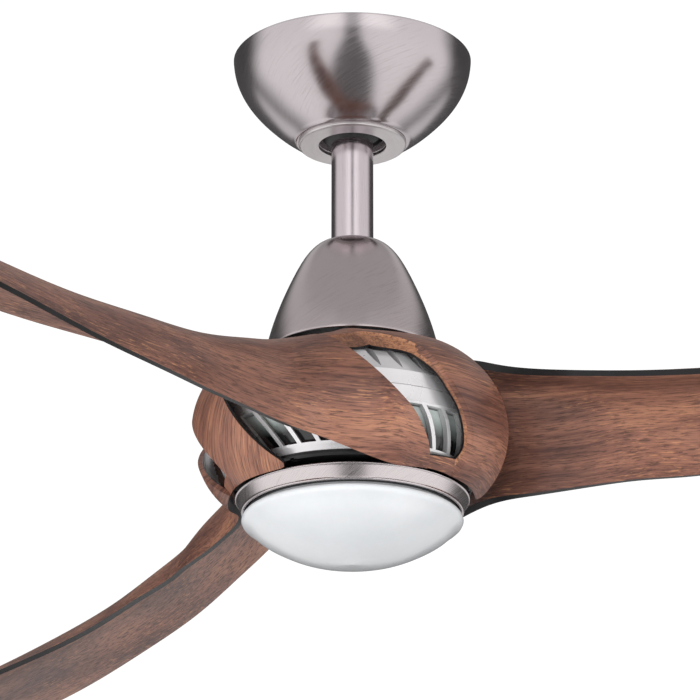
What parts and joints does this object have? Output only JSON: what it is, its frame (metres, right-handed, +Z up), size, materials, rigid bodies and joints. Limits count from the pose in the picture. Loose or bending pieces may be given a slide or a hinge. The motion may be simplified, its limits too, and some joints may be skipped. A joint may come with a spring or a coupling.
{
  "type": "ceiling fan with light",
  "caption": "Ceiling fan with three twisted walnut blades that wrap an open metal motor, a bell cover, short downrod, bowl canopy and an opal glass light.",
  "frame": {"origin": "centre of the bracket's two slots, on the fan's axis in the plane of the ceiling", "axes": "+Z up into the ceiling along the fan's axis, blade 1 points along +X"},
  "size_m": [1.198, 1.2996, 0.3392],
  "materials": {
    "brushed_nickel": "satin brushed",
    "walnut": "satin lacquered walnut grain",
    "opal_glass": "satin opal",
    "silver_casting": "satin cast",
    "smoke_liner": "gloss",
    "black_paint": "satin",
    "steel": "zinc plated",
    "black_plastic": "matte",
    "laminations": "varnished",
    "copper": "enamelled wire",
    "magnet": "matte",
    "board": "matte white",
    "led": "gloss"
  },
  "bodies": {
    "ceiling": {"mounting_bracket": "steel", "canopy": "brushed_nickel", "canopy_ring": "brushed_nickel", "canopy_screws": "steel", "receiver_box": "black_plastic"},
    "hanging": {"hanger_ball": "black_plastic", "ball_pin": "steel", "ball_set_screw": "steel", "downrod": "brushed_nickel", "coupling": "black_paint", "clevis_pin": "steel", "cotter_clip": "steel", "coupling_set_screws": "steel", "coupling_cover": "brushed_nickel", "cover_plate": "black_paint", "motor_shaft": "steel", "stator_hub": "silver_casting", "stator_core": "laminations", "stator_windings": "copper", "upper_bearing_inner": "steel", "lower_bearing_inner": "steel", "light_plate": "black_paint", "shaft_nut": "steel", "light_ring": "brushed_nickel", "light_ring_screws": "steel", "led_plate": "silver_casting", "led_board": "board", "led_chips": "led", "led_driver": "black_plastic"},
    "rotor": {"motor_top_housing": "silver_casting", "motor_band": "silver_casting", "rotor_magnets": "magnet", "motor_bottom_housing": "silver_casting", "motor_liner": "smoke_liner", "housing_screws": "steel", "blade_ring": "black_paint", "blade_ring_screws": "steel", "blade_screws": "steel", "upper_bearing_outer": "steel", "upper_bearing_balls": "steel", "lower_bearing_outer": "steel", "lower_bearing_balls": "steel", "blade_1": "walnut", "blade_2": "walnut", "blade_3": "walnut"},
    "bowl": {"glass_bowl": "opal_glass"}
  },
  "joints": [
    {"name": "hanger_swing", "type": "hinge", "parent": "ceiling", "child": "hanging", "pos_m": [0, 0, -0.036], "axis": [0, 1, 0], "range_deg": [-12, 12]},
    {"name": "rotor_spin", "type": "hinge", "parent": "hanging", "child": "rotor", "pos_m": [0, 0, -0.25], "axis": [0, 0, 1], "continuous": true},
    {"name": "bowl_twist", "type": "hinge", "parent": "hanging", "child": "bowl", "pos_m": [0, 0, -0.3], "axis": [0, 0, 1], "range_deg": [0, 20]}
  ]
}
